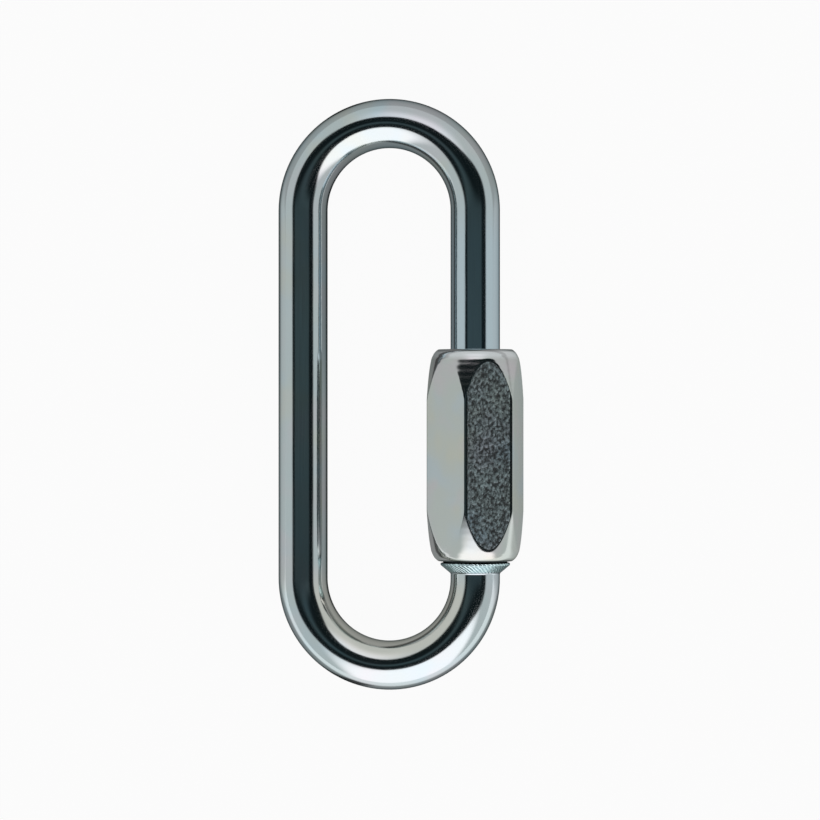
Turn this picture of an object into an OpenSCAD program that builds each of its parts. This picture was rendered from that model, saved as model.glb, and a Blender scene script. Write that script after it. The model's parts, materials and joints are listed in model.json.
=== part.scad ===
// Long oval quick link: a bent round bar with two threaded ends, closed by a hexagonal sleeve nut.
// It lies on a table as it comes to rest, with the plain leg and one corner of the nut touching down.
// The link's long axis and the nut's axis run along Y, and the loop is seen from +Z.

/* [Bar] */
// Diameter of the round bar
bar_d = 7; // [5:0.25:9]
// Clear length inside the loop
inner_length = 70; // [66:1:110]
// Clear width inside the loop
inner_width = 17.75; // [14:0.25:32]

/* [Threaded ends] */
// Outside diameter of the threaded ends
thread_d = 9.85; // [9.45:0.05:11]
// Pitch of the thread, which sets how far one turn carries the nut
thread_pitch = 1.5; // [1:0.25:2]
// Length of the lower thread that the closed nut holds
thread_engagement = 6; // [4:0.5:9]
// Length of the lower thread left in view under the closed nut
thread_show = 0.55; // [0.2:0.05:2]
// Plain bar between the lower bend and its threaded end
lower_neck = 0.6; // [0.25:0.05:4]
// Slope of the shoulder between bar and thread, measured from the bar's axis
shoulder_angle = 50; // [40:5:75]
// Largest fillet where a shoulder runs out into the bar
shoulder_fillet = 0.3; // [0.2:0.1:1.5]
// Lead-in chamfer on the tip of each threaded end
tip_chamfer = 0.9; // [0.3:0.1:1.5]

/* [Sleeve nut] */
// Width across the nut's flats
nut_af = 12.5; // [12:0.25:17]
// Length of the nut
nut_length = 30; // [24:0.5:33]
// Length over which each end of the nut is turned down, up to its full corners
nut_taper_length = 7.2; // [4:0.2:10]
// How far inside the flats the turned taper would stand at the end faces
nut_taper_drop = 0.3; // [0.1:0.05:0.6]
// Radius of the slight crown on the turned taper, seen from the side
nut_crown_r = 100; // [40:10:200]
// Radius that rounds the nut's ends over to the end faces
nut_end_round = 1.9; // [1:0.1:2.5]
// Slope at which that rounding leaves the end faces, measured from the nut's axis
nut_end_slope = 60; // [45:5:80]
// Slope at which that rounding runs out into the taper, measured from the nut's axis
nut_run_slope = 25; // [20:1:40]
// Width of the flat ring round the nut's lower mouth
mouth_land = 0.1; // [0.05:0.05:0.5]
// Chamfer on the edges of the nut's two openings
mouth_chamfer = 0.15; // [0.1:0.05:0.4]
// Length of the lip at the nut's upper end that keeps it on the bar
lip_length = 3; // [1.5:0.25:4]
// Turn of the closed nut: how far its lowest corner stands from straight down
nut_turn = 13.3; // [-29:0.1:29]

/* [Clearances] */
// Radial clearance between the threaded ends and the nut's bore
thread_fit = 0.05; // [0.02:0.01:0.1]
// Radial clearance between the bar and the nut's lip
lip_fit = 0.2; // [0.1:0.05:0.4]
// Gap between the upper shoulder and the lip of the closed nut
shoulder_gap = 0.3; // [0.1:0.1:1]
// How far the upper tip stays inside the mouth of the opened nut
tip_inset = 0.5; // [0.2:0.1:1]
// Gap between the opened nut and the upper bend
bend_gap = 0.3; // [0.1:0.1:1]

/* [Hidden] */
$fn = 96;

// Facets round the whole circle of each arc in a turned profile
arc_facets = 180;
crown_facets = 1080;

// Loop: the legs stand at x = -leg_x and leg_x, and the bends start at y = -bend_y and bend_y
bar_r = bar_d / 2;
leg_x = (inner_width + bar_d) / 2;
bend_y = (inner_length - inner_width) / 2;

// Shoulder: a cone from the thread, run out into the bar by a fillet
thread_r = thread_d / 2;
shoulder_rise = thread_r - bar_r;
fillet_r = min(shoulder_fillet, shoulder_rise / (1 - cos(shoulder_angle)));
fillet_rise = fillet_r * (1 - cos(shoulder_angle));
fillet_length = fillet_r * sin(shoulder_angle);
cone_length = (shoulder_rise - fillet_rise) / tan(shoulder_angle);
shoulder_length = fillet_length + cone_length;

// Nut along Y, closed, and the whole turns that carry it up to the upper bend
nut_bottom = -bend_y + lower_neck + shoulder_length + thread_show;
nut_top = nut_bottom + nut_length;
turns_to_open = floor((bend_y - bend_gap - nut_top) / thread_pitch);
travel = turns_to_open * thread_pitch;

// Threaded ends along Y
lower_thread_length = thread_show + thread_engagement;
upper_shoulder_top = nut_top - lip_length - shoulder_gap;
upper_thread_length = upper_shoulder_top - shoulder_length - (nut_bottom + travel + tip_inset);

// Nut across its axis
nut_corner_r = nut_af / 2 / cos(30);
bore_r = thread_r + thread_fit;
lip_r = bar_r + lip_fit;
nut_face_r = bore_r + mouth_chamfer + mouth_land;
blank_margin = 0.5;
blank_r = nut_corner_r + blank_margin;

// Rest on the table: the lowest corner of the nut and the plain leg touch z = 0
nut_axis_z = nut_corner_r * cos(nut_turn);
lean = asin((nut_axis_z - bar_r) / (2 * leg_x));
loop_z = bar_r + leg_x * sin(lean);
nut_half_width = max([for (k = [0:5]) nut_corner_r * sin(nut_turn + 60 * k)]);
loop_x = (bar_r - nut_half_width) / 2;

// Stands a shape drawn along Z up along Y, so that its base faces -Y
module along_y() {
    rotate([-90, 0, 0]) children();
}

// Lays the loop, drawn flat in the XY plane, down on the table
module at_rest() {
    translate([loop_x, 0, loop_z]) rotate([0, -lean, 0]) children();
}

// Half turn of bar at the upper end of the loop
module bend() {
    translate([0, bend_y, 0])
        rotate_extrude(angle = 180) translate([leg_x, 0]) circle(r = bar_r);
}

// Straight bar with a threaded end on it: plain for bar_length, then shoulder, thread and tip
module threaded_end(bar_length, thread_length) {
    thread_start = bar_length + shoulder_length;
    tip = thread_start + thread_length;
    rotate_extrude()
        difference() {
            polygon([
                [0, 0],
                [bar_r, 0],
                [bar_r, bar_length],
                [bar_r + fillet_rise, bar_length + fillet_length],
                [thread_r, thread_start],
                [thread_r, tip - tip_chamfer],
                [thread_r - tip_chamfer, tip],
                [0, tip]
            ]);
            translate([bar_r + fillet_r, bar_length]) circle(r = fillet_r, $fn = arc_facets);
        }
}

// Bent bar: plain leg, two bends, and two threaded ends that face each other inside the nut
module link_body() {
    color([0.74, 0.76, 0.75]) at_rest() {
        translate([-leg_x, -bend_y, 0]) along_y() cylinder(r = bar_r, h = 2 * bend_y);
        bend();
        rotate(180) bend();
        translate([leg_x, -bend_y, 0])
            along_y() threaded_end(lower_neck, lower_thread_length);
        translate([leg_x, bend_y, 0]) rotate(180)
            along_y() threaded_end(bend_y - upper_shoulder_top, upper_thread_length);
    }
}

// Half section of one rounded end of the nut, from its end face at y = 0 to the middle of its length
module nut_end() {
    rise = nut_end_round * (cos(nut_run_slope) - cos(nut_end_slope));
    run = nut_end_round * (sin(nut_end_slope) - sin(nut_run_slope));
    face = [nut_face_r, 0];
    leave = [nut_face_r + rise, run];
    polygon([
        [0, 0],
        face,
        leave,
        [blank_r, run + (blank_r - leave[0]) / tan(nut_run_slope)],
        [blank_r, nut_length / 2],
        [0, nut_length / 2]
    ]);
    intersection() {
        polygon([face, [leave[0], 0], leave]);
        translate([nut_face_r - nut_end_round * cos(nut_end_slope), nut_end_round * sin(nut_end_slope)])
            circle(r = nut_end_round, $fn = arc_facets);
    }
}

// Centre of the taper's crown arc, which passes through the taper's two ends
function crown_centre() =
    let (
        start = [nut_af / 2 - nut_taper_drop, 0],
        full = [nut_corner_r, nut_taper_length],
        chord = full - start,
        outward = [chord[1], -chord[0]] / norm(chord)
    )
    (start + full) / 2 - outward * sqrt(nut_crown_r ^ 2 - (norm(chord) / 2) ^ 2);

// Half section of the nut's bore, with the narrower lip at its upper end and a chamfer at each mouth
module nut_bore() {
    polygon([
        [0, 0],
        [bore_r + mouth_chamfer, 0],
        [bore_r, mouth_chamfer],
        [bore_r, nut_length - lip_length],
        [lip_r, nut_length - lip_length],
        [lip_r, nut_length - mouth_chamfer],
        [lip_r + mouth_chamfer, nut_length],
        [0, nut_length]
    ]);
}

// Half section of the nut before its flats are cut
module nut_section() {
    crown = crown_centre();
    difference() {
        intersection() {
            union() {
                nut_end();
                translate([0, nut_length]) mirror([0, 1]) nut_end();
            }
            translate(crown) circle(r = nut_crown_r, $fn = crown_facets);
            translate([crown[0], nut_length - crown[1]]) circle(r = nut_crown_r, $fn = crown_facets);
        }
        nut_bore();
    }
}

// Sleeve nut: a turned sleeve cut to a hexagon, with one corner near straight down
module sleeve_nut() {
    nut_x = loop_x + leg_x * cos(lean);
    color([0.66, 0.68, 0.67])
        translate([nut_x, nut_bottom, nut_axis_z]) along_y() rotate(90 - nut_turn)
            intersection() {
                rotate_extrude() nut_section();
                linear_extrude(nut_length) circle(r = nut_corner_r, $fn = 6);
            }
}

link_body();
sleeve_nut();
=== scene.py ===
"""Dresses the chain quick link: a plated bar bent to a long oval and closed by a hexagonal sleeve nut.

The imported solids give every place. The bar and the nut are replaced by finer surfaces of the same form,
which add the screw threads, the softened edges and the finishes, and the link lies on a white table.
"""
import json
import logging
import math
from dataclasses import dataclass
from enum import Enum
from typing import Any, Callable, Optional, Union

import bmesh
import bpy
import numpy as np
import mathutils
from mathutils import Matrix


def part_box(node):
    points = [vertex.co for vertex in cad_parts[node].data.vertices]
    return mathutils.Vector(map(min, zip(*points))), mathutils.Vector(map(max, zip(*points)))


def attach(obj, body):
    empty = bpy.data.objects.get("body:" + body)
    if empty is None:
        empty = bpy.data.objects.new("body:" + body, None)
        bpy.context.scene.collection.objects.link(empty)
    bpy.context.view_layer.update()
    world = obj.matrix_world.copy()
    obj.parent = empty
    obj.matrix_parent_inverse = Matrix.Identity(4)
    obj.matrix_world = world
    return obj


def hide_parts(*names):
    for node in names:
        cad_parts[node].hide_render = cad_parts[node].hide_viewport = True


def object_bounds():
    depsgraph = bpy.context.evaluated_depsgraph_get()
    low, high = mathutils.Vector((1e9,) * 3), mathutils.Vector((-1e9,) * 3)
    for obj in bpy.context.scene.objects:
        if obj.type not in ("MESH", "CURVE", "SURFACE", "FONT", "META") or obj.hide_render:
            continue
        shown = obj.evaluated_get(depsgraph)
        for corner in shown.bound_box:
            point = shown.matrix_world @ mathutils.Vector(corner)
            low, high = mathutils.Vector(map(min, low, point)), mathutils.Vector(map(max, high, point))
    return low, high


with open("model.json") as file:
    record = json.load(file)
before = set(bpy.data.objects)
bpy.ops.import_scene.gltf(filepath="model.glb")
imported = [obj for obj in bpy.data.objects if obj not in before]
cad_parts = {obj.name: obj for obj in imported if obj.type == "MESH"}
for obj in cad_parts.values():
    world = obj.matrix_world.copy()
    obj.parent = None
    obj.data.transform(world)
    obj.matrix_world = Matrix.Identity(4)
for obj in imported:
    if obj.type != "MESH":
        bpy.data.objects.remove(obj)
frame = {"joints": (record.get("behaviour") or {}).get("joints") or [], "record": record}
CAD_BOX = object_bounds()

MM = 0.001
TURN = 2 * math.pi
# The nut's flats, and half the turn that one of them takes up
FLATS = 6
HALF_FLAT = math.pi / FLATS
# Share of a step that counts as rounding, and the distance under which points become one, in metres
ROUND_OFF = 1e-9
SAME_POINT = 1e-7
log = logging.getLogger("quick_link")

# The two ends of a ramp; red, green and blue; and numbers along X, Y and Z
Span = tuple[float, float]
Colour = tuple[float, float, float]
Vector = tuple[float, float, float]


def smooth_step(low: float, high: float, value: np.ndarray) -> np.ndarray:
    """Rises from 0 at low to 1 at high along the cubic 3t^2 - 2t^3, and is level outside them."""
    t = np.clip((value - low) / (high - low), 0, 1)
    return t * t * (3 - 2 * t)


def smooth_min(a: np.ndarray, b: np.ndarray, reach: float) -> np.ndarray:
    """Gives min(a, b), less (reach - |a - b|)^2 / (4 reach) where the two come within reach."""
    short = np.maximum(reach - np.abs(a - b), 0)
    return np.minimum(a, b) - short * short / (4 * reach)


def rounded(corners: list[tuple[float, float]], radii: list[float], steps: int = 6) -> np.ndarray:
    """Rounds the corners of an open outline with arcs.

    Each corner becomes an arc that touches both its sides, radius over the tangent of half the corner's
    angle away from it.

    Args:
        corners: The outline's points.
        radii: One radius for each point; 0 keeps it sharp, as the two ends must be.
        steps: Pieces in each arc.

    Returns:
        The rounded outline, one point in a row.
    """
    points = np.array(corners, float)
    outline = [points[:1]]
    for before, corner, after, radius in zip(points[:-2], points[1:-1], points[2:], radii[1:-1]):
        if radius == 0:
            outline.append(corner[None])
            continue
        back = (before - corner) / np.linalg.norm(before - corner)
        on = (after - corner) / np.linalg.norm(after - corner)
        half = math.acos(float(np.clip(back @ on, -1, 1))) / 2
        inward = (back + on) / np.linalg.norm(back + on)
        centre = corner + inward * radius / math.sin(half)
        side = back - inward * (back @ inward)
        side /= np.linalg.norm(side)
        sweep = np.linspace(-1, 1, steps + 1)[:, None] * (math.pi / 2 - half)
        outline.append(centre - radius * (inward * np.cos(sweep) + side * np.sin(sweep)))
    outline.append(points[-1:])
    return np.concatenate(outline)


def refined(outline: np.ndarray, step: float) -> np.ndarray:
    """Splits the pieces of an outline so that none is longer along the axis than a step.

    Args:
        outline: Points as rows of (distance along the axis, radius).
        step: Longest distance along the axis.

    Returns:
        The same outline with more points.
    """
    counts = np.maximum(np.ceil(np.abs(np.diff(outline[:, 0])) / step - ROUND_OFF), 1).astype(int)
    places = np.concatenate([np.arange(n) / n + i for i, n in enumerate(counts)] + [[len(counts)]])
    index = np.arange(len(outline))
    return np.column_stack([np.interp(places, index, outline[:, k]) for k in range(2)])


class Ends(Enum):
    """How the first and last rows of a surface end."""

    POLES = "each shrinks to a point"
    JOINED = "the last runs into the first"


def surface(
    name: str, points: np.ndarray, ends: Ends, attributes: dict[str, np.ndarray]
) -> bpy.types.Object:
    """Makes an object from a grid whose columns run round and close.

    Args:
        name: The object's name.
        points: Places in metres, by row, column and axis. Columns crossed with rows point outwards.
        ends: How the rows end.
        attributes: Values kept with each point, by name; one number or three for each point.

    Returns:
        The smooth-shaded object, at the origin.
    """
    rows, columns = points.shape[:2]
    strips = rows if ends is Ends.JOINED else rows - 1
    row, column = np.meshgrid(np.arange(strips), np.arange(columns), indexing="ij")
    next_row = (row + 1) % rows
    next_column = (column + 1) % columns
    quads = np.stack(
        [
            row * columns + column,
            row * columns + next_column,
            next_row * columns + next_column,
            next_row * columns + column,
        ],
        axis=-1,
    )
    mesh = bpy.data.meshes.new(name)
    mesh.from_pydata(points.reshape(-1, 3), [], quads.reshape(-1, 4))
    for label, values in attributes.items():
        vector = values.ndim == 3
        layer = mesh.attributes.new(label, "FLOAT_VECTOR" if vector else "FLOAT", "POINT")
        layer.data.foreach_set("vector" if vector else "value", values.astype(np.float32).ravel())
    if ends is Ends.POLES:
        shell = bmesh.new()
        shell.from_mesh(mesh)
        bmesh.ops.remove_doubles(shell, verts=shell.verts, dist=SAME_POINT)
        shell.to_mesh(mesh)
        shell.free()
    mesh.shade_smooth()
    mesh.update()
    piece = bpy.data.objects.new(name, mesh)
    bpy.context.scene.collection.objects.link(piece)
    return piece


@dataclass(frozen=True)
class Places:
    """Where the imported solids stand, in metres and radians.

    Pairs of numbers are x and z: both the loop's plane and the nut's axis hold the Y direction.
    """

    loop_middle: tuple[float, float]
    nut_axis: tuple[float, float]
    inner_end: float
    nut_bottom: float
    nut_top: float
    apothem: float
    flat_angle: float
    travel: float

    @classmethod
    def from_frame(cls) -> "Places":
        """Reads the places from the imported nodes, mounts and joint.

        Returns:
            The places.
        """
        mounts = {mount["name"]: mount for mount in frame["record"]["mounts"]}
        bow = mounts["upper_bow"]["pos_m"]
        flat_x, _, flat_z = mounts["spanner_flat"]["axis"]
        on_flat_x, _, on_flat_z = mounts["spanner_flat"]["pos_m"]
        low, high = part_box("sleeve_nut")
        axis_x, axis_z = (low.x + high.x) / 2, (low.z + high.z) / 2
        return cls(
            loop_middle=(bow[0], bow[2]),
            nut_axis=(axis_x, axis_z),
            inner_end=bow[1],
            nut_bottom=low.y,
            nut_top=high.y,
            apothem=(on_flat_x - axis_x) * flat_x + (on_flat_z - axis_z) * flat_z,
            flat_angle=math.atan2(flat_z, flat_x),
            travel=frame["joints"][0]["range_m"][1],
        )

    @property
    def leg_offset(self) -> float:
        """Distance of each leg's axis from the loop's middle."""
        return math.dist(self.loop_middle, self.nut_axis)

    @property
    def lean(self) -> float:
        """How far the loop leans up towards the nut."""
        return math.atan2(self.nut_axis[1] - self.loop_middle[1], self.nut_axis[0] - self.loop_middle[0])


@dataclass(frozen=True)
class ScrewThread:
    """A right-handed thread of 60 degrees about the nut's axis, shared by the bar ends and the nut.

    The crest's width and both depths are in pitches.
    """

    major_r: float = 4.925 * MM
    pitch: float = 1.5 * MM
    crest: float = 0.125
    root_depth: float = 0.6134
    nut_depth: float = 0.5413

    def depth(self, along: np.ndarray, angle: np.ndarray) -> np.ndarray:
        """Gives the groove's depth under the crest.

        The phase is y over the pitch plus the turn from +X to +Z, so the crest climbs against that turn.
        The depth grows by the square root of 3 for each length past the flat crest, down to the root.

        Args:
            along: Place along Y.
            angle: Turn from +X towards +Z.

        Returns:
            Depth in metres, 0 on the crest.
        """
        phase = (along / self.pitch + angle / TURN) % 1
        off_crest = np.abs(phase - 0.5) - self.crest / 2
        return self.pitch * np.clip(off_crest * math.sqrt(3), 0, self.root_depth)

    def nut_radius(self, along: np.ndarray, angle: np.ndarray, clearance: float) -> np.ndarray:
        """Gives the nut's tapped radius: the bar's thread with its valleys cut flat, plus a clearance."""
        depth = np.minimum(self.depth(along, angle), self.nut_depth * self.pitch)
        return self.major_r - depth + clearance


@dataclass(frozen=True)
class LinkBody:
    """The bent bar: plain leg, two bends, and two upset, threaded ends that face each other."""

    places: Places
    thread: ScrewThread
    bar_d: float = 7 * MM
    thread_engagement: float = 6 * MM
    thread_show: float = 0.55 * MM
    lip_length: float = 3 * MM
    shoulder_gap: float = 0.3 * MM
    tip_inset: float = 0.5 * MM
    shoulder_angle: float = math.radians(50)
    shoulder_fillet: float = 0.3 * MM
    tip_chamfer: float = 0.9 * MM
    edge_round: float = 0.08 * MM
    relief_show: float = 0.26 * MM
    relief_width: float = 1.4 * MM
    relief_depth: float = 0.38 * MM
    relief_wall: float = 0.07 * MM
    collar_rise: Span = (0.1 * MM, 0.4 * MM)
    fillet_share: float = 0.999
    columns: int = 120
    first_column: float = -0.25
    rows_in_pitch: int = 32
    rows_in_neck: int = 4
    rows_in_bend: int = 72
    rows_in_leg: int = 24

    @property
    def bar_r(self) -> float:
        """Radius of the bar."""
        return self.bar_d / 2

    @property
    def bend_y(self) -> float:
        """Where the straight legs end and the bends start."""
        return self.places.inner_end - (self.places.leg_offset - self.bar_r)

    @property
    def cone_length(self) -> float:
        """Length of a shoulder's cone, run on straight to the bar."""
        return (self.thread.major_r - self.bar_r) / math.tan(self.shoulder_angle)

    @property
    def shoulder_length(self) -> float:
        """Length of a shoulder from the thread's edge to the end of its fillet."""
        return self.cone_length + self.shoulder_fillet * math.tan(self.shoulder_angle / 2)

    @property
    def lower_tip(self) -> float:
        """Y of the lower threaded end's tip."""
        return self.places.nut_bottom + self.thread_engagement

    @property
    def upper_tip(self) -> float:
        """Y of the upper threaded end's tip, which the opened nut just covers."""
        return self.places.nut_bottom + self.places.travel + self.tip_inset

    @property
    def bends(self) -> tuple[float, float, float, float]:
        """Where the bends lie along the bar, counted from its lower tip.

        Returns:
            Start and end of the lower bend, and then of the upper one.
        """
        bend = math.pi * self.places.leg_offset
        lower_bend = self.lower_tip + self.bend_y
        left_leg = lower_bend + bend
        upper_bend = left_leg + 2 * self.bend_y
        return lower_bend, left_leg, upper_bend, upper_bend + bend

    def end_outline(self, thread_length: float) -> np.ndarray:
        """Gives a threaded end's outline without its groove, from the middle of its tip to the bar.

        The fillet ends a hair short of the outline's last point, so that no two points coincide.

        Args:
            thread_length: Length from the tip to the shoulder's edge.

        Returns:
            Rows of (distance from the tip, radius).
        """
        major = self.thread.major_r
        corners = [
            (0, 0),
            (0, major - self.tip_chamfer),
            (self.tip_chamfer, major),
            (thread_length, major),
            (thread_length + self.cone_length, self.bar_r),
            (thread_length + self.shoulder_length, self.bar_r),
        ]
        fillet = self.shoulder_fillet * self.fillet_share
        radii = [0, self.edge_round, self.edge_round, self.edge_round, fillet, 0]
        return refined(rounded(corners, radii), self.thread.pitch / self.rows_in_pitch)

    def run(self) -> tuple[np.ndarray, np.ndarray]:
        """Lists the rows of the bar, from the lower tip down, round the loop and down to the upper tip.

        Returns:
            Distance along the bar's centre line, and the radius there without the thread's groove.
        """
        lower_bend, left_leg, upper_bend, right_leg = self.bends
        lower = self.end_outline(self.thread_engagement + self.thread_show)
        shoulder_y = self.places.nut_top - self.lip_length - self.shoulder_gap
        upper = self.end_outline(shoulder_y - self.shoulder_length - self.upper_tip)
        total = right_leg + self.bend_y - self.upper_tip
        plain = np.concatenate(
            [
                np.linspace(lower[-1, 0], lower_bend, self.rows_in_neck)[1:-1],
                np.linspace(lower_bend, left_leg, self.rows_in_bend),
                np.linspace(left_leg, upper_bend, self.rows_in_leg)[1:-1],
                np.linspace(upper_bend, right_leg, self.rows_in_bend),
                np.linspace(right_leg, total - upper[-1, 0], self.rows_in_leg // 2)[1:-1],
            ]
        )
        along = np.concatenate([lower[:, 0], plain, total - upper[::-1, 0]])
        radius = np.concatenate([lower[:, 1], np.full(len(plain), self.bar_r), upper[::-1, 1]])
        return along, radius

    def grooved(self, along: np.ndarray, radius: np.ndarray, y: np.ndarray, angle: np.ndarray) -> np.ndarray:
        """Cuts the thread into the two ends.

        The radius is the smaller of the outline and the thread. On the lower end the thread runs out into
        a relief groove, whose edge shows under the nut; on the upper end it runs into the shoulder.

        Args:
            along: Distance along the bar, as a column.
            radius: Outline radius, as a column.
            y: Place along Y, as a column.
            angle: Turn about the nut's axis, as a row.

        Returns:
            The radius by row and column.
        """
        depth = self.thread.depth(y, angle)
        relief = self.places.nut_bottom - self.relief_show
        relief_end = relief + self.relief_width
        past_collar = smooth_step(relief, relief + self.relief_wall, y)
        past_relief = smooth_step(relief_end, relief_end + self.thread.pitch / 4, y)
        lower_depth = past_collar * (self.relief_depth + (depth - self.relief_depth) * past_relief)
        lower_bend, _, _, right_leg = self.bends
        on_lower_end = along < lower_bend
        on_upper_end = along > right_leg
        depth = np.where(on_lower_end, lower_depth, np.where(on_upper_end, depth, 0))
        threaded = on_lower_end | on_upper_end
        return np.where(threaded, np.minimum(radius, self.thread.major_r - depth), radius)

    def build(self) -> bpy.types.Object:
        """Carries the outline round the loop.

        Along the centre line the outward normal turns by a half circle in each bend, so that the centre is
        leg times (cos, -sin) of that turn plus the travel up and down the straight legs. Round it, a point
        is the centre plus the radius times (cos across the plane, sin along the plane's normal). The first
        column runs along the underside, a quarter turn back.

        Returns:
            The bar, with three things kept on each point: straight_bar, its place on the bar before it was
            bent, in mm; thread_depth, how deep it lies in a thread, in mm; and collar, 1 on the shoulder
            that shows under the nut.
        """
        leg = self.places.leg_offset
        along, radius = self.run()
        lower_bend, left_leg, upper_bend, right_leg = self.bends
        turn = np.clip((along - lower_bend) / leg, 0, math.pi)
        turn += np.clip((along - upper_bend) / leg, 0, math.pi)
        climb = np.clip(along - left_leg, 0, 2 * self.bend_y)
        fall = np.clip(along, 0, lower_bend) + np.clip(along - right_leg, 0, None)
        centre_across = leg * np.cos(turn)
        centre_y = self.lower_tip - fall + climb - leg * np.sin(turn)
        round_bar = (np.arange(self.columns) / self.columns + self.first_column) * TURN
        lean = self.places.lean
        r = self.grooved(along[:, None], radius[:, None], centre_y[:, None], round_bar[None] + lean)
        across = centre_across[:, None] + r * np.cos(round_bar) * np.cos(turn)[:, None]
        up = r * np.sin(round_bar)
        points = np.stack(
            [
                self.places.loop_middle[0] + across * math.cos(lean) - up * math.sin(lean),
                centre_y[:, None] - r * np.cos(round_bar) * np.sin(turn)[:, None],
                self.places.loop_middle[1] + across * math.sin(lean) + up * math.cos(lean),
            ],
            axis=-1,
        )
        low, high = self.collar_rise
        in_view = (along > self.thread_engagement + self.relief_show) & (along < lower_bend)
        collar = np.where(in_view, smooth_step(self.bar_r + low, self.bar_r + high, radius), 0)
        attributes = {
            "straight_bar": np.stack([r * np.cos(round_bar), up, along[:, None] + 0 * r], axis=-1) / MM,
            "thread_depth": (radius[:, None] - r) / MM,
            "collar": collar[:, None] + 0 * r,
        }
        return surface("plated_bar", points, Ends.POLES, attributes)


@dataclass(frozen=True)
class SleeveNut:
    """The long hexagonal nut with crowned, turned ends, a tapped bore and a lip at its upper end."""

    places: Places
    thread: ScrewThread
    bar_r: float = 3.5 * MM
    taper_length: float = 7.2 * MM
    taper_drop: float = 0.3 * MM
    crown_r: float = 100 * MM
    end_round: float = 1.9 * MM
    end_slope: float = math.radians(60)
    run_slope: float = math.radians(25)
    mouth_land: float = 0.1 * MM
    mouth_chamfer: float = 0.15 * MM
    lip_length: float = 3 * MM
    thread_fit: float = 0.05 * MM
    lip_fit: float = 0.2 * MM
    thread_clearance: float = 0.12 * MM
    counterbore: float = 2 * MM
    corner_soften: float = 0.12 * MM
    crease_soften: float = 0.06 * MM
    edge_round: float = 0.06 * MM
    end_zone: float = 1.25 * MM
    edge_steps: int = 3
    columns_in_flat: int = 32
    rows_in_zone: int = 16
    rows_in_pitch: int = 14

    @property
    def length(self) -> float:
        """Length of the nut."""
        return self.places.nut_top - self.places.nut_bottom

    @property
    def bore_r(self) -> float:
        """Radius of the plain bore."""
        return self.thread.major_r + self.thread_fit

    @property
    def lip_r(self) -> float:
        """Radius of the hole through the lip."""
        return self.bar_r + self.lip_fit

    @property
    def face_r(self) -> float:
        """Outer radius of the flat end faces."""
        return self.bore_r + self.mouth_chamfer + self.mouth_land

    @property
    def crown_centre(self) -> tuple[float, float]:
        """Centre of the taper's crown arc, which lies one crown radius from both ends of the taper.

        Returns:
            The centre as (radius, distance from the end).
        """
        start = np.array([self.places.apothem - self.taper_drop, 0])
        full = np.array([self.places.apothem / math.cos(HALF_FLAT), self.taper_length])
        chord = full - start
        half = np.linalg.norm(chord) / 2
        outward = np.array([chord[1], -chord[0]]) / (2 * half)
        centre = (start + full) / 2 - outward * math.sqrt(self.crown_r**2 - half**2)
        return float(centre[0]), float(centre[1])

    def turned_radius(self, from_end: np.ndarray) -> np.ndarray:
        """Gives the turned form's radius: a rounded end that runs out straight, cut by the crown arc.

        Args:
            from_end: Distance from the nearer end face.

        Returns:
            The radius there.
        """
        centre_r = self.face_r - self.end_round * math.cos(self.end_slope)
        centre_d = self.end_round * math.sin(self.end_slope)
        run = centre_d - self.end_round * math.sin(self.run_slope)
        below = np.minimum(from_end, run) - centre_d
        rounding = centre_r + np.sqrt(self.end_round**2 - below**2)
        rounding += np.maximum(from_end - run, 0) * math.tan(self.run_slope)
        crown_r, crown_d = self.crown_centre
        crown = crown_r + np.sqrt(self.crown_r**2 - (from_end - crown_d) ** 2)
        return smooth_min(rounding, crown, self.crease_soften)

    def hexagon_radius(self, off_flat: np.ndarray) -> np.ndarray:
        """Gives the hexagon's radius: the apothem over the turn's cosine, with softened corners.

        Args:
            off_flat: Turn from the middle of the flat.

        Returns:
            The radius there.
        """
        here = self.places.apothem / np.cos(off_flat)
        beside = self.places.apothem / np.cos(2 * HALF_FLAT - np.abs(off_flat))
        return smooth_min(here, beside, self.corner_soften)

    def crease(self, off_flat: np.ndarray) -> np.ndarray:
        """Gives the distance from the end at which the crown arc meets the hexagon."""
        crown_r, crown_d = self.crown_centre
        return crown_d - np.sqrt(self.crown_r**2 - (self.hexagon_radius(off_flat) - crown_r) ** 2)

    def outside_rows(self, off_flat: np.ndarray) -> np.ndarray:
        """Lays rows over half the outside, crowded where the turned end meets the flats.

        Args:
            off_flat: Turn of each column from the middle of its flat.

        Returns:
            Distance from the end by row and column, from 0 to half the length.
        """
        step = np.linspace(0, 1, self.rows_in_zone + 1)[:, None]
        crease = self.crease(off_flat)[None]
        end = self.end_zone * step + 0 * crease
        taper = self.end_zone + (crease - self.end_zone) * (1 - (1 - step) ** 2)
        flat = crease + (self.length / 2 - crease) * step**2
        return np.concatenate([end, taper[1:], flat[1:]])

    def bore_outline(self) -> np.ndarray:
        """Gives the bore's outline from the lower end face up to the upper one, without its thread.

        Returns:
            Rows of (distance from the lower end, radius).
        """
        lip_start = self.length - self.lip_length
        corners = [
            (0, self.face_r),
            (0, self.bore_r + self.mouth_chamfer),
            (self.mouth_chamfer, self.bore_r),
            (lip_start, self.bore_r),
            (lip_start, self.lip_r),
            (self.length - self.mouth_chamfer, self.lip_r),
            (self.length, self.lip_r + self.mouth_chamfer),
            (self.length, self.face_r),
        ]
        radii = [0] + [self.edge_round] * (len(corners) - 2) + [0]
        return refined(rounded(corners, radii, self.edge_steps), self.thread.pitch / self.rows_in_pitch)

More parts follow.
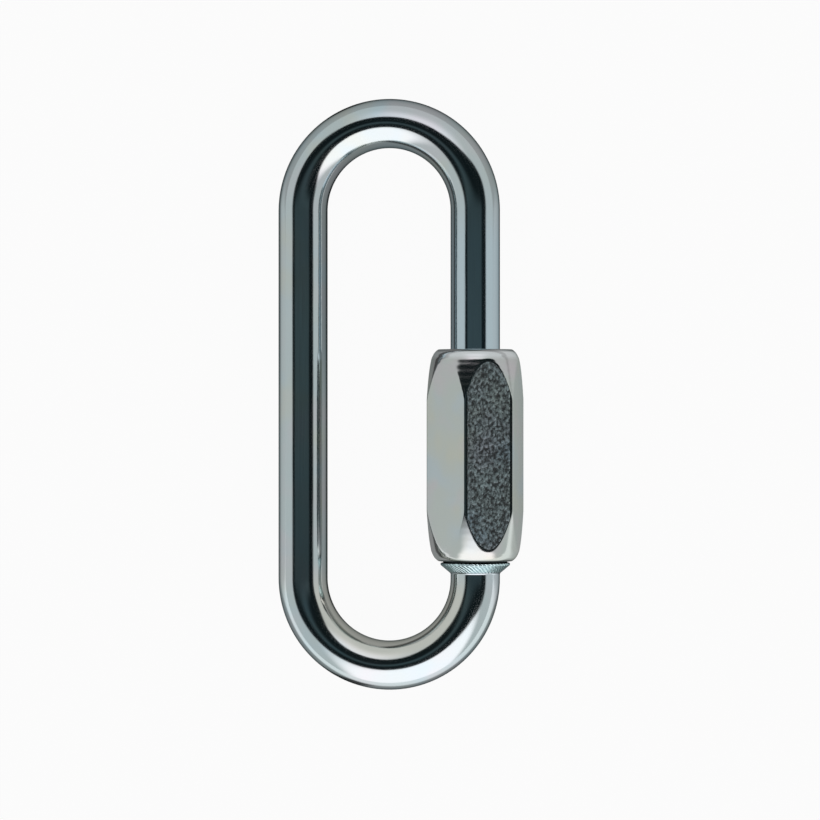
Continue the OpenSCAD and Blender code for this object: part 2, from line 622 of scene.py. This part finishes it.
    def tapped(self, along: np.ndarray, radius: np.ndarray, angle: np.ndarray) -> np.ndarray:
        """Cuts the thread into the bore between the plain mouth and the lip.

        Args:
            along: Distance from the lower end, as a column.
            radius: The bore's radius without its thread, as a column.
            angle: Turn from +X towards +Z, as a row.

        Returns:
            The radius by row and column.
        """
        thread_end = self.length - self.lip_length - self.thread.pitch / 2
        thread = self.thread.nut_radius(along + self.places.nut_bottom, angle, self.thread_clearance)
        share = smooth_step(self.counterbore, self.counterbore + self.thread.pitch, along)
        share = share * (1 - smooth_step(thread_end - self.thread.pitch, thread_end, along))
        relief = np.maximum(radius, self.thread.major_r + self.thread_clearance)
        in_bore = (along > self.counterbore) & (along < thread_end)
        return np.where(in_bore, relief + (thread - relief) * share, radius)

    def build(self) -> bpy.types.Object:
        """Wraps the outside and the bore into one closed ring of surface.

        Outside, a point's radius is the smaller of the hexagon's and the turned form's, rounded where they
        meet. The rows run down the outside and back up the bore, and the columns crowd towards the corners.
        A point's inset is its distance from its flat's corners or about that from the turned end, whichever
        is less: how far the turned form stands over the flat, divided by the taper's mean slope.
        The bore counts as the nut's whole length outside the flats.

        Returns:
            The nut, with three lengths in mm kept on each point: flat_inset, how far inside a flat it lies,
            and from_mouth and from_top, how far from the lower and the upper end face. Pitted is 1 on the
            spanner's flat and its opposite.
        """
        share = (np.arange(self.columns_in_flat) + 0.5) / self.columns_in_flat * 2 - 1
        off_one = np.sign(share) * (1 - (1 - np.abs(share)) ** 2) * HALF_FLAT
        off_flat = np.tile(off_one, FLATS)
        flat = np.repeat(np.arange(FLATS), self.columns_in_flat)
        angle = off_flat + flat * 2 * HALF_FLAT + self.places.flat_angle
        half = self.outside_rows(off_flat)
        hexagon = self.hexagon_radius(off_flat)[None]
        turned = self.turned_radius(half)
        half_r = smooth_min(turned, hexagon, self.crease_soften)
        to_corner = self.places.apothem * (math.tan(HALF_FLAT) - np.abs(np.tan(off_flat)))[None]
        crown_slope = (1 / math.cos(HALF_FLAT) - 1) * self.places.apothem / self.taper_length
        half_inset = np.minimum(to_corner, (turned - hexagon) / crown_slope)
        bore = self.bore_outline()
        bore_r = self.tapped(bore[:, :1], bore[:, 1:], angle[None])
        bore_along = bore[:, :1] + 0 * bore_r
        lower = half[::-1]
        along = np.concatenate([self.length - half, lower[1:], bore_along[1:-1]])
        radius = np.concatenate([half_r, half_r[::-1][1:], bore_r[1:-1]])
        inset = np.concatenate([half_inset, half_inset[::-1][1:], 0 * bore_along[1:-1] - self.length])
        points = np.stack(
            [
                self.places.nut_axis[0] + radius * np.cos(angle),
                self.places.nut_bottom + along,
                self.places.nut_axis[1] + radius * np.sin(angle),
            ],
            axis=-1,
        )
        pitted = (flat % (FLATS // 2) == 0) + 0 * along
        attributes = {
            "flat_inset": inset / MM,
            "from_mouth": along / MM,
            "from_top": (self.length - along) / MM,
            "pitted": pitted,
        }
        return surface("hexagon_sleeve_nut", points, Ends.JOINED, attributes)


Value = Union["Wire", float, tuple]


def math_method(operation: str, reflected: bool = False) -> Callable[["Wire", Value], "Wire"]:
    """Makes the method of a wire's operator.

    Args:
        operation: The Math node's operation.
        reflected: Whether the other value comes first, as in 1 - mask.

    Returns:
        The method, which adds the Math node and gives its output.
    """

    def method(wire: "Wire", value: Value) -> "Wire":
        """Adds the Math node."""
        first, second = (value, wire) if reflected else (wire, value)
        return wire.graph.math(operation, first, second)

    return method


class Wire:
    """A shader value that takes part in sums: each operator adds a Math node and gives its output."""

    __add__ = math_method("ADD")
    __radd__ = math_method("ADD", reflected=True)
    __sub__ = math_method("SUBTRACT")
    __rsub__ = math_method("SUBTRACT", reflected=True)
    __mul__ = math_method("MULTIPLY")
    __truediv__ = math_method("DIVIDE")
    __pow__ = math_method("POWER")

    def __init__(self, graph: "Graph", socket: Optional[bpy.types.NodeSocket]) -> None:
        """Holds an output socket, where the node has one, and the graph it belongs to."""
        self.graph = graph
        self.socket = socket

    def other(self, output: str) -> "Wire":
        """Gives another output of the same node."""
        return Wire(self.graph, self.socket.node.outputs[output])

    def __neg__(self) -> "Wire":
        """Turns the sign."""
        return self.graph.math("MULTIPLY", self, -1.0)

    def __abs__(self) -> "Wire":
        """Drops the sign."""
        return self.graph.math("ABSOLUTE", self)


class Graph:
    """A node tree that is written as expressions."""

    def __init__(self, tree: bpy.types.NodeTree) -> None:
        """Empties a tree and starts on it."""
        self.tree = tree
        tree.nodes.clear()

    def add(
        self,
        kind: str,
        settings: Optional[dict[str, Any]] = None,
        inputs: Optional[dict[Union[str, int], Value]] = None,
        output: Union[str, int] = 0,
    ) -> Wire:
        """Adds a node.

        Args:
            kind: The node's type.
            settings: Its settings, which are set before its sockets.
            inputs: Values or links of its sockets, by name or number.
            output: The output that is wanted.

        Returns:
            That output.
        """
        node = self.tree.nodes.new(kind)
        for name, setting in (settings or {}).items():
            setattr(node, name, setting)
        for key, value in (inputs or {}).items():
            self.put(node.inputs[key], value)
        outputs = node.outputs
        return Wire(self, outputs[output]) if len(outputs) else Wire(self, None)

    def put(self, socket: bpy.types.NodeSocket, value: Value) -> None:
        """Links a wire to a socket, or sets the socket's own value; a colour gets its alpha.

        Args:
            socket: An input of a node.
            value: The wire, number or colour that goes in.
        """
        if isinstance(value, Wire):
            self.tree.links.new(value.socket, socket)
        elif socket.type == "RGBA":
            socket.default_value = (*value[:3], 1.0)
        else:
            socket.default_value = value

    def attribute(self, name: str, output: str = "Fac") -> Wire:
        """Reads what a piece keeps on its points."""
        return self.add("ShaderNodeAttribute", {"attribute_name": name}, output=output)

    def axes(self, place: Wire) -> tuple[Wire, Wire, Wire]:
        """Splits a place or direction into its three numbers."""
        x = self.add("ShaderNodeSeparateXYZ", None, {0: place}, "X")
        return x, x.other("Y"), x.other("Z")

    def math(self, operation: str, *values: Value) -> Wire:
        """Adds a Math node."""
        return self.add("ShaderNodeMath", {"operation": operation}, dict(enumerate(values)))

    def vector(self, operation: str, *values: Value) -> Wire:
        """Adds a Vector Math node."""
        return self.add("ShaderNodeVectorMath", {"operation": operation}, dict(enumerate(values)))

    def ramp(self, value: Value, low: float, high: float, start: float = 0.0, end: float = 1.0) -> Wire:
        """Carries a value smoothly from start at low to end at high."""
        settings = {"interpolation_type": "SMOOTHSTEP"}
        return self.add("ShaderNodeMapRange", settings, dict(enumerate((value, low, high, start, end))))

    def band(self, value: Value, low: float, high: float, soft: float) -> Wire:
        """Gives 1 between low and high and 0 outside them, with edges that fade over soft on either side."""
        return self.ramp(value, low - soft, low + soft) * self.ramp(value, high + soft, high - soft)

    def mix(self, share: Value, first: Value, second: Value) -> Wire:
        """Mixes two colours, by the numbers of the Mix node's colour sockets."""
        settings = {"data_type": "RGBA"}
        return self.add("ShaderNodeMix", settings, {0: share, 6: first, 7: second}, 2)

    def noise(self, place: Wire, size: float, detail: float = 2.0, rough: float = 0.5) -> Wire:
        """Adds noise whose features are about as large as size, in the units of the place."""
        inputs = {"Vector": place, "Scale": 1 / size, "Detail": detail, "Roughness": rough}
        return self.add("ShaderNodeTexNoise", {"normalize": True}, inputs, 0)

    def metal(self, colour: Wire, roughness: Wire, edge_tint: Colour, height: Wire) -> None:
        """Ends a material as plated metal.

        Args:
            colour: Share of the light that it mirrors straight on.
            roughness: How rough it is.
            edge_tint: What its outer edges keep of that share.
            height: Fine relief, in metres.
        """
        bump = self.add("ShaderNodeBump", None, {"Strength": 1.0, "Distance": 1.0, "Height": height})
        inputs = {
            "Base Color": colour,
            "Metallic": 1.0,
            "Roughness": roughness,
            "Specular Tint": edge_tint,
            "Normal": bump,
        }
        shader = self.add("ShaderNodeBsdfPrincipled", None, inputs)
        self.add("ShaderNodeOutputMaterial", None, {"Surface": shader})


def new_material(name: str) -> tuple[bpy.types.Material, Graph]:
    """Starts a material.

    Args:
        name: The material's name.

    Returns:
        The material and its empty graph.
    """
    material = bpy.data.materials.new(name)
    material.use_nodes = True
    return material, Graph(material.node_tree)


@dataclass(frozen=True)
class MetalTint:
    """The colours that a plated surface drifts between, in patches of about one size.

    Start shifts the noise behind the first patches, and apart shifts it further for each next tint.
    """

    plain: Colour
    cool: Colour
    olive: Colour
    rose: Colour
    patch: float
    start: Vector
    apart: float = 0.3
    patch_level: Span = (0.48, 0.72)

    def colour(self, graph: Graph, place: Wire) -> Wire:
        """Drifts from the plain tint to each of the others in soft patches.

        Args:
            graph: The material's graph.
            place: Place on the piece, in metres.

        Returns:
            The colour.
        """
        colour = self.plain
        for step, tint in enumerate((self.cool, self.olive, self.rose)):
            shift = tuple(first + step * self.apart for first in self.start)
            shifted = graph.vector("ADD", place, shift)
            patches = graph.ramp(graph.noise(shifted, self.patch), *self.patch_level)
            colour = graph.mix(patches, colour, tint)
        return colour


@dataclass(frozen=True)
class BarFinish:
    """Bright plate over drawn bar: a near mirror with faint lines along it and soft patches of tint."""

    link: LinkBody
    name: str = "bright_bar_plate"
    tint: MetalTint = MetalTint(
        plain=(0.616, 0.707, 0.721),
        cool=(0.581, 0.714, 0.77),
        olive=(0.651, 0.707, 0.665),
        rose=(0.665, 0.693, 0.721),
        patch=9 * MM,
        start=(0.56, 0.4, 0.24),
    )
    cool_cast: Colour = (0.616, 0.745, 0.805)
    cool_across: Span = (0 * MM, 8 * MM)
    cool_along: Span = (30 * MM, 20 * MM)
    warm_cast: Colour = (0.765, 0.78, 0.72)
    warm_reach: Span = (12.2 * MM, 10.4 * MM)
    warm_start: Span = (3 * MM, -3 * MM)
    collar_tint: Colour = (0.63, 0.82, 0.84)
    edge_tint: Colour = (0.2, 0.23, 0.23)
    roughness: Span = (0.09, 0.15)
    line_width: float = 0.16
    line_length: float = 9.0
    line_height: float = 0.0018 * MM
    line_detail: float = 3.0
    line_rough: float = 0.6
    line_level: Span = (0.35, 0.7)
    dent_width: float = 2.2
    dent_stretch: Vector = (1.0, 1.0, 0.35)
    dent_detail: float = 1.0
    dent_height: float = 0.006 * MM
    # Dark colour in the threads and the relief groove: grease, and painted shade for the gap under the nut
    grease_and_shade: Colour = (0.028, 0.031, 0.031)
    grease_roughness: float = 0.4
    grease_and_shade_depth: Span = (0.03, 0.3)
    collar_marks: int = 50
    collar_slant: float = 13.0
    collar_wander: float = 5.0
    wander_width: float = 0.8
    collar_mark_height: float = 0.028 * MM

    def cast(self, graph: Graph, place: Wire) -> Wire:
        """Gives the plate's colour: patches of tint, with a cool cast and a warm one.

        The leg with the nut is cooler, away from the bends. The inside of the lower bend is warmer, which is
        where a point is nearer to the bend's centre than the bar's axis is.

        Args:
            graph: The material's graph.
            place: Place on the piece, in metres.

        Returns:
            The colour.
        """
        x, y, _ = graph.axes(place)
        cool = graph.ramp(x, *self.cool_across) * graph.ramp(abs(y), *self.cool_along)
        aside = x - self.link.places.loop_middle[0]
        above = y + self.link.bend_y
        from_centre = graph.math("SQRT", aside * aside + above * above)
        warm = graph.ramp(from_centre, *self.warm_reach) * graph.ramp(above, *self.warm_start)
        plate = graph.mix(cool, self.tint.colour(graph, place), self.cool_cast)
        return graph.mix(warm, plate, self.warm_cast)

    def build(self) -> bpy.types.Material:
        """Makes the material.

        Lines and dents follow straight_bar, the place on the bar before it was bent, in mm. The collar's
        slanted marks are a sine of the turn round the bar plus the way along it. Grease, with painted shade
        for the gap under the nut, darkens the threads and the relief groove, the more the deeper they lie.

        Returns:
            The material.
        """
        material, graph = new_material(self.name)
        place = graph.add("ShaderNodeTexCoord", output="Object")
        straight = graph.attribute("straight_bar", "Vector")
        stretch = (1 / self.line_width, 1 / self.line_width, 1 / self.line_length)
        stretched = graph.vector("MULTIPLY", straight, stretch)
        lines = graph.noise(stretched, 1.0, self.line_detail, self.line_rough)
        stretched = graph.vector("MULTIPLY", straight, self.dent_stretch)
        dents = graph.noise(stretched, self.dent_width, self.dent_detail)
        across, upright, along = graph.axes(straight)
        turn = graph.math("ARCTAN2", upright, across)
        wander = graph.noise(straight, self.wander_width) * self.collar_wander
        marks = graph.math("SINE", turn * self.collar_marks + along * self.collar_slant + wander)
        collar = graph.attribute("collar")
        # Grease and painted shade: darker the deeper a point lies in a thread or in the relief groove
        greased_and_shaded = graph.ramp(graph.attribute("thread_depth"), *self.grease_and_shade_depth)
        height = lines * self.line_height + dents * self.dent_height
        height = height + marks * collar * self.collar_mark_height
        roughness = graph.ramp(lines, *self.line_level, *self.roughness) + greased_and_shaded * self.grease_roughness
        plate = graph.mix(collar, self.cast(graph, place), self.collar_tint)
        graph.metal(graph.mix(greased_and_shaded, plate, self.grease_and_shade), roughness, self.edge_tint, height)
        return material


@dataclass(frozen=True)
class NutFinish:
    """Plate over a turned hexagon: two pitted flats with a smooth rim, four satin ones and turned ends."""

    name: str = "satin_nut_plate"
    tint: MetalTint = MetalTint(
        plain=(0.626, 0.68, 0.65),
        cool=(0.602, 0.686, 0.714),
        olive=(0.665, 0.686, 0.602),
        rose=(0.672, 0.658, 0.672),
        patch=7 * MM,
        start=(0.77, 0.55, 0.33),
    )
    edge_tint: Colour = (0.72, 0.76, 0.75)
    # Painted highlight: the upper end's rounding is coloured brighter than the plate
    painted_highlight_tint: Colour = (0.84, 0.875, 0.889)
    painted_highlight_width: Span = (1.6, 0.8)
    grain_cast: Colour = (0.86, 1.0, 1.075)
    # Colour of painted shade, used for the gap at the lower mouth, the line along the upper edge and the
    # pits
    painted_shade: Colour = (0.084, 0.091, 0.091)
    mouth_shade_width: Span = (0.3, 0.12)
    # Thin line of painted shade along the upper end's edge, in mm from the top face
    shadow_line_width: Span = (0.42, 0.26)
    shadow_line_start: Span = (0.0, 0.05)
    shadow_line_share: float = 0.5
    smooth_roughness: float = 0.14
    satin_roughness: float = 0.22
    grain_roughness: float = 0.38
    bore_roughness: float = 0.45
    rim: Span = (0.47, 0.55)
    satin_inset: Span = (0.1, 0.3)
    turned_inset: Span = (0.0, -0.15)
    bore_inset: Span = (-20.0, -25.0)
    grain_size: float = 0.42 * MM
    grain_stretch: Vector = (1.0, 0.8, 1.0)
    grain_detail: float = 2.0
    grain_rough: float = 0.55
    grain_height: float = 0.085 * MM
    # Painted shade in the grain's low spots on the pitted flats
    pit_shade_level: Span = (0.71, 0.35)
    pit_shade_share: float = 0.95
    ring_pitch: float = 0.95 * MM
    ring_height: float = 0.005 * MM
    faint_ring_height: float = 0.0003 * MM
    ring_rise: Span = (-5 * MM, -2 * MM)

    def build(self) -> bpy.types.Material:
        """Makes the material.

        Flat_inset, in mm, tells the flats from the turned ends and the bore, and pitted which flats are
        grained. From_mouth, in mm, is where painted shade darkens the gap round the lower opening, and
        from_top, in mm, where the upper end gets a painted highlight under a thin line of painted shade. The
        grain is noise about its middle, cooler than the plate, and its low spots are darkened as painted
        shade in the pits. The rings are a sine along the nut, plain to see on its upper end.

        Returns:
            The material.
        """
        material, graph = new_material(self.name)
        place = graph.add("ShaderNodeTexCoord", output="Object")
        inset = graph.attribute("flat_inset")
        pitted = graph.attribute("pitted")
        grained = graph.ramp(inset, *self.rim) * pitted
        satin = graph.ramp(inset, *self.satin_inset) * (1 - pitted)
        turned = graph.ramp(inset, *self.turned_inset)
        bore = graph.ramp(inset, *self.bore_inset)
        # Painted shade in the gap round the lower opening
        painted_shade = graph.ramp(graph.attribute("from_mouth"), *self.mouth_shade_width)
        from_top = graph.attribute("from_top")
        # Painted highlight on the upper end, within its width of the top face
        painted_highlight = graph.ramp(from_top, *self.painted_highlight_width) * (1 - bore)
        # Painted shade: a thin dark line along the upper end's edge
        edge = graph.ramp(from_top, *self.shadow_line_width) * graph.ramp(from_top, *self.shadow_line_start) * (1 - bore)
        stretched = graph.vector("MULTIPLY", place, self.grain_stretch)
        grain = graph.noise(stretched, self.grain_size, self.grain_detail, self.grain_rough)
        # Painted shade in the pits, where the grain is lowest
        pit_shade = graph.ramp(grain, *self.pit_shade_level) * grained
        _, along, _ = graph.axes(place)
        rings = graph.math("SINE", along * (TURN / self.ring_pitch))
        ring_height = graph.ramp(along, *self.ring_rise, self.faint_ring_height, self.ring_height)
        height = (grain - 0.5) * grained * self.grain_height + rings * turned * ring_height
        roughness = (
            self.smooth_roughness
            + grained * (self.grain_roughness - self.smooth_roughness)
            + satin * (self.satin_roughness - self.smooth_roughness)
            + bore * (self.bore_roughness - self.smooth_roughness)
        )
        plate = graph.mix(painted_highlight, self.tint.colour(graph, place), self.painted_highlight_tint)
        plate = graph.mix(grained, plate, graph.vector("MULTIPLY", plate, self.grain_cast))
        # Painted shade in the pits, along the upper edge and in the gap at the lower mouth
        for dark in (pit_shade * self.pit_shade_share, edge * self.shadow_line_share, painted_shade):
            plate = graph.mix(dark, plate, self.painted_shade)
        graph.metal(plate, roughness, self.edge_tint, height)
        return material


@dataclass(frozen=True)
class StudioLight:
    """Soft light from all sides, strongest from the front, with a dark ceiling that the metal mirrors."""

    side: Colour = (0.6, 0.614, 0.614)
    front: Colour = (1.443, 1.343, 1.357)
    back: Colour = (0.986, 0.95, 0.986)
    ceiling: Colour = (0.0057, 0.01, 0.0114)
    ceiling_pale: Colour = (0.053, 0.077, 0.084)
    ceiling_across: Span = (-50, 50)
    ceiling_along: Span = (-20, 29)
    pale_across: Span = (-38, 29)
    pale_along: Span = (-3, 4.5)
    soft_edge: float = 0.07
    soft_pale: float = 4
    corner_power: float = 4.0
    front_turn: float = 0.1
    front_fade: float = 1.3
    front_rise: Span = (0.05, 0.4)
    back_rise: Span = (0.3, 0.5)
    back_fall: Span = (0.95, 0.6)
    back_across: Span = (0.55, 0.1)

    def build(self) -> None:
        """Makes the world from the direction that light comes from.

        The ceiling is a rounded rectangle in two angles from straight up, in degrees: one turns towards +X
        about the Y direction, and the other leans towards +Y. It reaches as far as the corner powers of the
        two angles, each as a share of its half width, add up to 1. A paler rectangle lies inside it. The
        front light is turned a little towards +X, and fades towards its sides, soonest near the horizon. The
        back light is a soft patch between the horizon and the ceiling.
        """
        world = bpy.data.worlds.new("studio_light")
        world.use_nodes = True
        graph = Graph(world.node_tree)
        direction = graph.add("ShaderNodeTexCoord", output="Generated")
        x, y, z = graph.axes(direction)
        across = graph.math("DEGREES", graph.math("ARCTAN2", x, z))
        along = graph.math("DEGREES", graph.math("ARCSINE", y))
        reach = 0.0
        for angle, (low, high) in ((across, self.ceiling_across), (along, self.ceiling_along)):
            reach = abs((angle - (low + high) / 2) / ((high - low) / 2)) ** self.corner_power + reach
        reach = reach ** (1 / self.corner_power)
        inside = graph.ramp(reach, 1 + self.soft_edge, 1 - self.soft_edge)
        pale = graph.band(across, *self.pale_across, self.soft_pale)
        pale = pale * graph.band(along, *self.pale_along, self.soft_pale)
        ceiling = graph.mix(pale, self.ceiling, self.ceiling_pale)
        towards_front = x * self.front_turn - y - abs(x) * (1 - z) * self.front_fade
        from_front = graph.ramp(towards_front, *self.front_rise)
        from_back = graph.ramp(y, *self.back_rise) * graph.ramp(y, *self.back_fall)
        from_back = from_back * graph.ramp(abs(x), *self.back_across)
        light = graph.mix(from_front, graph.mix(from_back, self.side, self.back), self.front)
        light = graph.mix(inside, light, ceiling)
        background = graph.add("ShaderNodeBackground", None, {"Color": light, "Strength": 1.0})
        graph.add("ShaderNodeOutputWorld", None, {"Surface": background})
        bpy.context.scene.world = world


@dataclass(frozen=True)
class Table:
    """The white table that the link lies on."""

    link: LinkBody
    half_width: float = 3.0
    paint: Colour = (0.62, 0.62, 0.62)
    white: Colour = (1.0, 1.0, 1.0)
    dark: Colour = (0.0, 0.0, 0.0)
    seen_white: float = 0.95
    white_beside: float = 0.6
    white_in_front: float = 1.0
    white_behind: float = 0.42
    white_in_shade: Span = (0.28, 0.38)
    end_ramp: Span = (26 * MM, 38 * MM)
    loop_ramp: Span = (10 * MM, -4 * MM)
    shade: Span = (7 * MM, 11 * MM)
    front_reach: float = 2.0
    leg_shadow: Span = (9 * MM, 6 * MM)
    leg_shadow_start: Span = (0 * MM, 3 * MM)
    leg_shadow_share: float = 0.8
    gloss_roughness: float = 0.15

    def mirrored_white(self, graph: Graph) -> Wire:
        """Gives the share of white that the link's metal mirrors from each place of the table.

        It is painted light and shade: full in front of the link, where the front light would fall, less
        beside and behind it, and least where painted shade stands for the link's shadow on the table: close
        to the bar and inside the loop, above all at its back and beside the plain leg. How far outside the
        loop a place lies is its distance from the segment between the bends' centres, less the distance of
        the legs from it. The painted shade reaches further in front.

        Args:
            graph: The material's graph.

        Returns:
            The share, from 0 to 1.
        """
        x, y, _ = graph.axes(graph.add("ShaderNodeTexCoord", output="Object"))
        aside = x - self.link.places.loop_middle[0]
        beyond = graph.math("MAXIMUM", abs(y) - self.link.bend_y, 0.0)
        outside = graph.math("SQRT", aside * aside + beyond * beyond) - self.link.places.leg_offset
        in_front = graph.ramp(-y, *self.end_ramp)
        behind = graph.ramp(y, *self.end_ramp)
        lit_white = in_front * (self.white_in_front - self.white_beside) + self.white_beside
        lit_white = behind * (self.white_behind - self.white_beside) + lit_white
        lit = graph.ramp(outside / (in_front * (self.front_reach - 1) + 1), *self.shade)
        # Painted shadow of the plain leg on the table, seen only in the metal
        from_leg = aside + self.link.places.leg_offset
        leg_shadow = graph.ramp(from_leg, *self.leg_shadow) * graph.ramp(from_leg, *self.leg_shadow_start)
        shaded_white = graph.ramp(y, *self.loop_ramp, *self.white_in_shade)
        shaded_white = shaded_white * (1 - leg_shadow * self.leg_shadow_share)
        return lit * lit_white + (1 - lit) * shaded_white

    def finish(self) -> bpy.types.Material:
        """Makes the white: paint that keeps the link's shadow, under a share of even white.

        The camera sees most of the even white, and metal sees only that, graded from place to place by
        painted light and shade.

        Returns:
            The material.
        """
        material, graph = new_material("white_table")
        seen = graph.add("ShaderNodeLightPath", output="Is Camera Ray")
        mirrored = seen.other("Is Glossy Ray") + seen.other("Is Transmission Ray")
        share = seen * self.seen_white + mirrored
        brightness = seen + mirrored * self.mirrored_white(graph)
        coat = {"Base Color": self.paint, "Roughness": self.gloss_roughness}
        paint = graph.add("ShaderNodeBsdfPrincipled", None, coat)
        dark, white = (
            graph.add("ShaderNodeEmission", None, {"Color": colour, "Strength": 1.0})
            for colour in (self.dark, self.white)
        )
        graded = graph.add("ShaderNodeMixShader", None, {0: brightness, 1: dark, 2: white})
        shader = graph.add("ShaderNodeMixShader", None, {0: share, 1: paint, 2: graded})
        graph.add("ShaderNodeOutputMaterial", None, {"Surface": shader})
        return material

    def build(self) -> None:
        """Lays a square under the link, at the height of the solids' lowest point."""
        corner = np.array([[-1, -1, 0], [1, -1, 0], [1, 1, 0], [-1, 1, 0]]) * self.half_width
        corner[:, 2] = CAD_BOX[0].z
        mesh = bpy.data.meshes.new("table")
        mesh.from_pydata(corner, [], np.arange(4)[None])
        mesh.materials.append(self.finish())
        table = bpy.data.objects.new("table", mesh)
        bpy.context.scene.collection.objects.link(table)


@dataclass(frozen=True)
class PhotoCamera:
    """The photograph's camera: straight above the link, with +Y up the picture."""

    places: Places
    height: float = 600 * MM
    view_width: float = 116.6 * MM
    sensor: float = 36.0
    aside: float = 3.0 * MM
    below: float = 2.23 * MM

    def build(self) -> None:
        """Hangs the camera over the loop, a little off its middle, where its view is view_width wide."""
        lens = bpy.data.cameras.new("photo_camera")
        lens.sensor_width = self.sensor
        lens.lens = self.sensor * self.height / self.view_width
        camera = bpy.data.objects.new("photo_camera", lens)
        middle_x, middle_z = self.places.loop_middle
        camera.location = (middle_x + self.aside, -self.below, middle_z + self.height)
        bpy.context.scene.collection.objects.link(camera)
        bpy.context.scene.camera = camera


def dress(piece: bpy.types.Object, material: bpy.types.Material, body: str, node: str) -> None:
    """Puts a material on a piece and ties the piece to the frame.

    Args:
        piece: The piece.
        material: Its finish.
        body: The body that it rides on.
        node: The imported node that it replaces.
    """
    piece.data.materials.append(material)
    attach(piece, body)
    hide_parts(node)
    log.info("%s: %d faces, rides on %s in place of %s", piece.name, len(piece.data.polygons), body, node)


def main() -> None:
    """Builds the camera, the link's two pieces, the table and the light, in that order."""
    logging.basicConfig(level=logging.INFO, format="%(name)s: %(message)s")
    bpy.context.scene.view_settings.view_transform = "Standard"
    places = Places.from_frame()
    thread = ScrewThread()
    PhotoCamera(places).build()
    link = LinkBody(places, thread)
    nut = SleeveNut(places, thread)
    dress(link.build(), BarFinish(link).build(), "link", "link_body")
    dress(nut.build(), NutFinish().build(), "nut", "sleeve_nut")
    Table(link).build()
    StudioLight().build()


if __name__ == "__main__":
    main()
